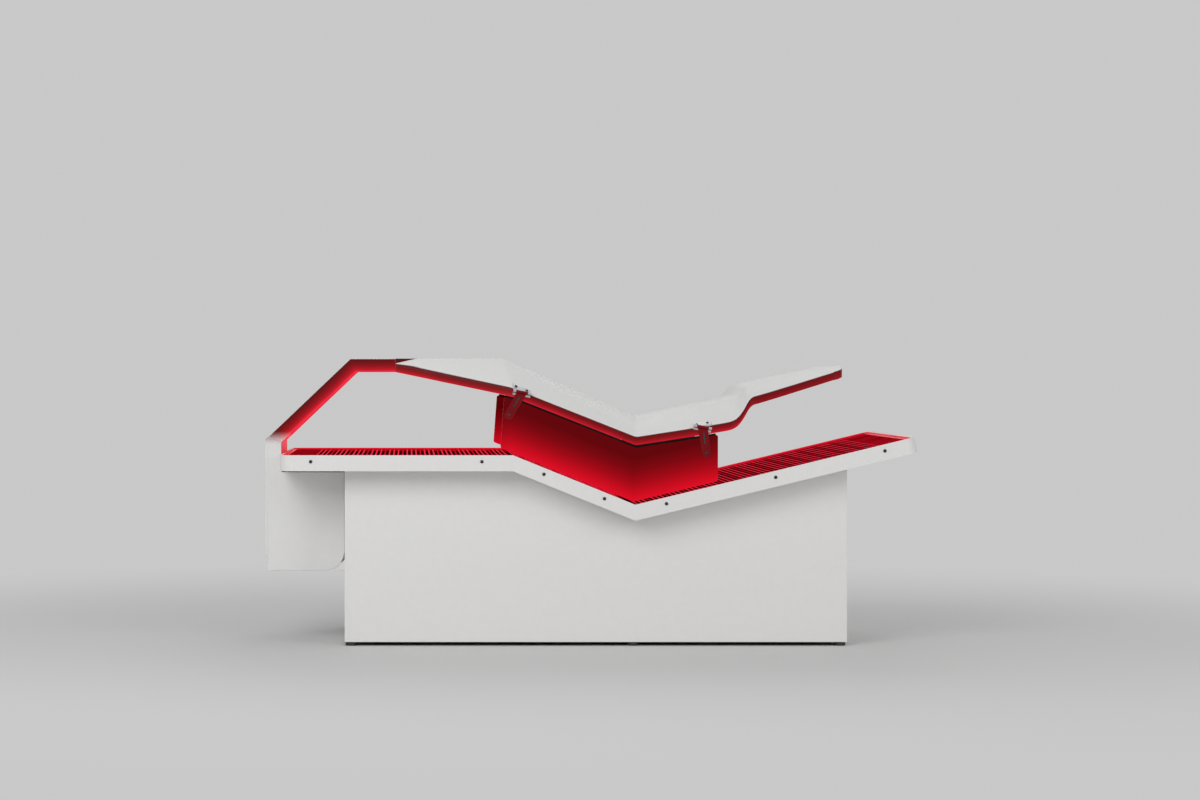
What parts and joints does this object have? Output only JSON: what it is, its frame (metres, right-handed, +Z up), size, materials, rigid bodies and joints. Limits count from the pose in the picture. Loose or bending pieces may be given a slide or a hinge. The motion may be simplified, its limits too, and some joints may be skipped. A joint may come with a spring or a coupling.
{
  "type": "red light therapy bed",
  "caption": "Bent LED deck on a white cabinet under a hinged winged canopy with frosted side shields; bathes a reclining person in red light.",
  "frame": {"origin": "on the floor, in the middle of the length and the width", "axes": "+X towards the head end, +Y towards the user's right hand, +Z up"},
  "size_m": [2.271, 1.006, 1.002],
  "materials": {
    "shell_white": "satin powder coat",
    "tray_white": "satin paint on a moulded tub",
    "canopy_white": "satin paint on a moulded shell",
    "frame_grey": "powder-coated welded tube",
    "pan_steel": "plain sheet",
    "lens_clear": "clear acrylic",
    "shield_frosted": "frosted acrylic, lit red",
    "led_red": "LED board, lit red",
    "sink_aluminium": "extruded fins",
    "steel": "ground",
    "hinge_steel": "satin",
    "screw_black": "black oxide",
    "bush_bronze": "sintered bronze",
    "foot_black": "moulded pad",
    "electric_black": "moulded",
    "supply_alloy": "folded sheet case",
    "motor_grey": "painted casting",
    "guard_wire": "plated wire"
  },
  "bodies": {
    "base": {"base_frame": "frame_grey", "control_box": "electric_black", "deck_lens_back": "lens_clear", "deck_lens_foot": "lens_clear", "deck_lens_thigh": "lens_clear", "fan_guards": "guard_wire", "fan_housing_left": "electric_black", "fan_housing_right": "electric_black", "floor_pan": "pan_steel", "foot_end_panel": "shell_white", "front_panel": "shell_white", "head_end_panel": "shell_white", "heat_sink_back": "sink_aluminium", "heat_sink_foot": "sink_aluminium", "heat_sink_thigh": "sink_aluminium", "led_board_back": "led_red", "led_board_foot": "led_red", "led_board_thigh": "led_red", "levelling_feet": "foot_black", "lift_gearmotor": "motor_grey", "mains_inlet": "electric_black", "pivot_bracket_left": "steel", "pivot_bracket_right": "steel", "pivot_bush_left": "bush_bronze", "pivot_bush_right": "bush_bronze", "power_supply_left": "supply_alloy", "power_supply_right": "supply_alloy", "rear_panel": "shell_white", "rim_screws": "screw_black", "switch_housing": "electric_black", "tray_shell": "tray_white"},
    "canopy": {"foot_box": "canopy_white", "end_cover": "canopy_white", "cover_screws": "screw_black", "canopy_foot_shell": "canopy_white", "canopy_body_shell": "canopy_white", "visor": "canopy_white", "canopy_lens_foot": "lens_clear", "canopy_lens_body": "lens_clear", "canopy_board_slant": "led_red", "canopy_board_roof": "led_red", "canopy_board_thigh": "led_red", "canopy_board_back": "led_red", "hinge_shaft": "steel", "canopy_hub_left": "steel", "canopy_hub_right": "steel", "hinge_leaves_left": "hinge_steel", "hinge_leaves_right": "hinge_steel", "hinge_pins_left": "steel", "hinge_pins_right": "steel", "leaf_screws": "screw_black"},
    "shield_left": {"side_shield_left": "shield_frosted", "hinge_straps_left": "hinge_steel", "strap_screws_left": "screw_black"},
    "shield_right": {"side_shield_right": "shield_frosted", "hinge_straps_right": "hinge_steel", "strap_screws_right": "screw_black"},
    "fan_left": {"fan_rotor_left": "electric_black"},
    "fan_right": {"fan_rotor_right": "electric_black"},
    "rocker": {"switch_rocker": "electric_black"}
  },
  "joints": [
    {"name": "canopy_lift", "type": "hinge", "parent": "base", "child": "canopy", "pos_m": [-0.92548, 0, 0.322], "axis": [0, -1, 0], "range_deg": [0, 45]},
    {"name": "shield_left_swing", "type": "hinge", "parent": "canopy", "child": "shield_left", "pos_m": [-0.23248, -0.41, 0.88313], "axis": [-0.982, 0, 0.1891], "range_deg": [0, 100]},
    {"name": "shield_right_swing", "type": "hinge", "parent": "canopy", "child": "shield_right", "pos_m": [-0.23248, 0.41, 0.88313], "axis": [0.982, 0, -0.1891], "range_deg": [0, 100]},
    {"name": "fan_left_spin", "type": "hinge", "parent": "base", "child": "fan_left", "pos_m": [0.88091, -0.19, 0.33], "axis": [1, 0, 0], "continuous": true},
    {"name": "fan_right_spin", "type": "hinge", "parent": "base", "child": "fan_right", "pos_m": [0.88091, 0.19, 0.33], "axis": [1, 0, 0], "continuous": true},
    {"name": "mains_rocker", "type": "hinge", "parent": "base", "child": "rocker", "pos_m": [0.90091, 0.07, 0.16], "axis": [0, -1, 0], "range_deg": [0, 20]}
  ]
}
